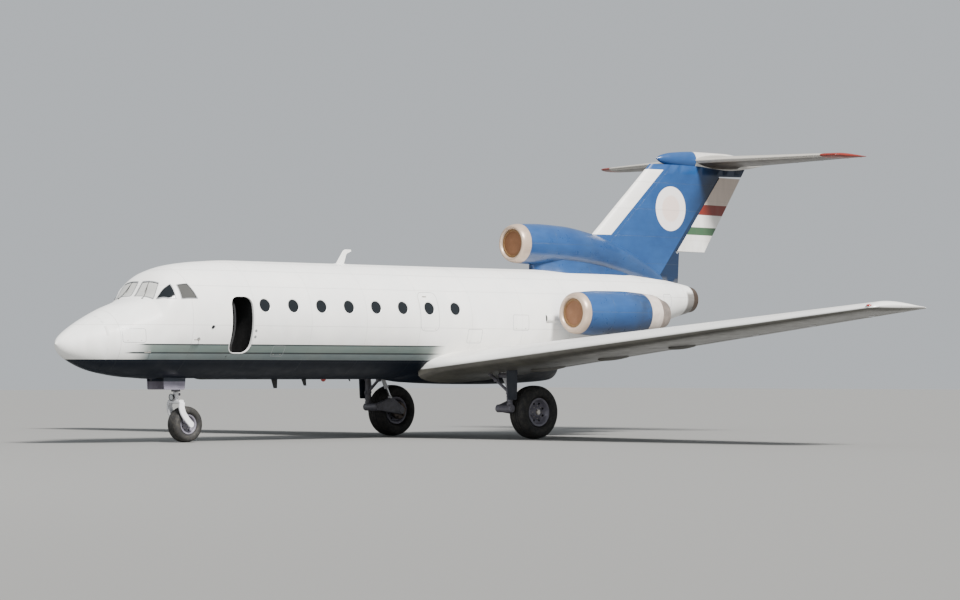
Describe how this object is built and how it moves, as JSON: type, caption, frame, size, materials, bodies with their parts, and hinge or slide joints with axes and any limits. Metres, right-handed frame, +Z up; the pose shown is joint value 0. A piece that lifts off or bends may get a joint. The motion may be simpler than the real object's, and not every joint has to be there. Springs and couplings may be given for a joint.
{
  "type": "three-engined regional jet airliner",
  "caption": "Narrow body T-tail jet airliner with straight wings, rear engines, an open crew door and a ventral airstair, parked on its wheels.",
  "frame": {"origin": "on the ground, at the middle of the overall length and span", "axes": "+X from nose to tail, +Y to starboard, +Z up"},
  "size_m": [20.36, 25, 6.4975],
  "materials": {
    "body_white": "gloss paint, slightly weathered",
    "blue_paint": "satin blue paint",
    "navy_paint": "satin navy paint",
    "tail_grey": "satin grey paint",
    "gear_metal": "light grey paint on steel",
    "lip_metal": "bare metal, tinted by heat",
    "blank_cover": "matte red-brown cover",
    "dark_steel": "heat-darkened steel",
    "cockpit_glass": "dark glass",
    "tyre_rubber": "matte rubber"
  },
  "bodies": {
    "airframe": {"fuselage": "body_white", "nose_radome": "body_white", "cockpit_glazing": "cockpit_glass", "dorsal_antenna": "body_white", "fin": "blue_paint", "centre_duct": "blue_paint", "fin_bullet": "blue_paint", "tailplane": "tail_grey", "intake_lip_centre": "lip_metal", "intake_blank_centre": "blank_cover", "engine_centre": "dark_steel", "nozzle_centre": "dark_steel", "nose_strut": "gear_metal", "nose_drag_brace": "gear_metal", "wing_left": "body_white", "nacelle_left": "blue_paint", "engine_left": "dark_steel", "nozzle_left": "dark_steel", "intake_lip_left": "lip_metal", "intake_blank_left": "blank_cover", "pylon_left": "body_white", "main_leg_left": "gear_metal", "main_lever_left": "gear_metal", "main_gear_door_left": "body_white", "side_brace_left": "gear_metal", "nose_door_left": "navy_paint", "wing_right": "body_white", "nacelle_right": "blue_paint", "engine_right": "dark_steel", "nozzle_right": "dark_steel", "intake_lip_right": "lip_metal", "intake_blank_right": "blank_cover", "pylon_right": "body_white", "main_leg_right": "gear_metal", "main_lever_right": "gear_metal", "main_gear_door_right": "body_white", "side_brace_right": "gear_metal", "nose_door_right": "navy_paint"},
    "nose_steering_leg": {"nose_fork": "gear_metal"},
    "nose_wheel": {"nose_rim": "gear_metal", "nose_tyre": "tyre_rubber"},
    "crew_door_leaf": {"crew_door": "body_white"},
    "airstair": {"ventral_airstair": "body_white"},
    "rudder_surface": {"rudder": "body_white"},
    "main_wheel_left": {"main_rim_left": "gear_metal", "main_tyre_left": "tyre_rubber"},
    "flap_body_left": {"flap_left": "body_white"},
    "aileron_body_left": {"aileron_left": "body_white"},
    "elevator_body_left": {"elevator_left": "tail_grey"},
    "main_wheel_right": {"main_rim_right": "gear_metal", "main_tyre_right": "tyre_rubber"},
    "flap_body_right": {"flap_right": "body_white"},
    "aileron_body_right": {"aileron_right": "body_white"},
    "elevator_body_right": {"elevator_right": "tail_grey"}
  },
  "joints": [
    {"name": "nose_steering", "type": "hinge", "parent": "airframe", "child": "nose_steering_leg", "pos_m": [-7.26, 0, 1], "axis": [0, 0, 1], "range_deg": [-55, 55]},
    {"name": "nose_wheel_spin", "type": "hinge", "parent": "nose_steering_leg", "child": "nose_wheel", "pos_m": [-7.03, 0, 0.36], "axis": [0, 1, 0], "continuous": true},
    {"name": "main_wheel_spin_left", "type": "hinge", "parent": "airframe", "child": "main_wheel_left", "pos_m": [0.44, -2.26, 0.56], "axis": [0, 1, 0], "continuous": true},
    {"name": "main_wheel_spin_right", "type": "hinge", "parent": "airframe", "child": "main_wheel_right", "pos_m": [0.44, 2.26, 0.56], "axis": [0, 1, 0], "continuous": true},
    {"name": "flap_left_hinge", "type": "hinge", "parent": "airframe", "child": "flap_body_left", "pos_m": [1.54521, -1.3, 1.57461], "axis": [0.0952, 0.9911, -0.0929], "range_deg": [0, 35]},
    {"name": "flap_right_hinge", "type": "hinge", "parent": "airframe", "child": "flap_body_right", "pos_m": [1.54521, 1.3, 1.57461], "axis": [-0.0952, 0.9911, 0.0929], "range_deg": [0, 35]},
    {"name": "aileron_left_hinge", "type": "hinge", "parent": "airframe", "child": "aileron_body_left", "pos_m": [0.92494, -7.76, 2.18023], "axis": [0.0952, 0.9911, -0.0929], "range_deg": [-20, 20]},
    {"name": "aileron_right_hinge", "type": "hinge", "parent": "airframe", "child": "aileron_body_right", "pos_m": [0.92494, 7.76, 2.18023], "axis": [-0.0952, 0.9911, 0.0929], "range_deg": [-20, 20]},
    {"name": "elevator_left_hinge", "type": "hinge", "parent": "airframe", "child": "elevator_body_left", "pos_m": [9.22, -0.215, 6.29], "axis": [0.0299, 0.9996, 0], "range_deg": [-25, 20]},
    {"name": "elevator_right_hinge", "type": "hinge", "parent": "airframe", "child": "elevator_body_right", "pos_m": [9.22, 0.215, 6.29], "axis": [-0.0299, 0.9996, 0], "range_deg": [-25, 20]},
    {"name": "rudder_hinge", "type": "hinge", "parent": "airframe", "child": "rudder_surface", "pos_m": [7.09, 0, 4.15], "axis": [0.6394, 0, 0.7689], "range_deg": [-25, 25]},
    {"name": "crew_door_hinge", "type": "hinge", "parent": "airframe", "child": "crew_door_leaf", "pos_m": [-6.738, -0.935, 2.33], "axis": [0, 0, 1], "range_deg": [-90, 0]},
    {"name": "airstair_hinge", "type": "hinge", "parent": "airframe", "child": "airstair", "pos_m": [2.74, 0, 1.41], "axis": [0, 1, 0], "range_deg": [0, 55]}
  ],
  "couplings": [
    {"joint": "flap_right_hinge", "follows": "flap_left_hinge", "ratio": 1},
    {"joint": "aileron_right_hinge", "follows": "aileron_left_hinge", "ratio": -1},
    {"joint": "elevator_right_hinge", "follows": "elevator_left_hinge", "ratio": 1}
  ]
}
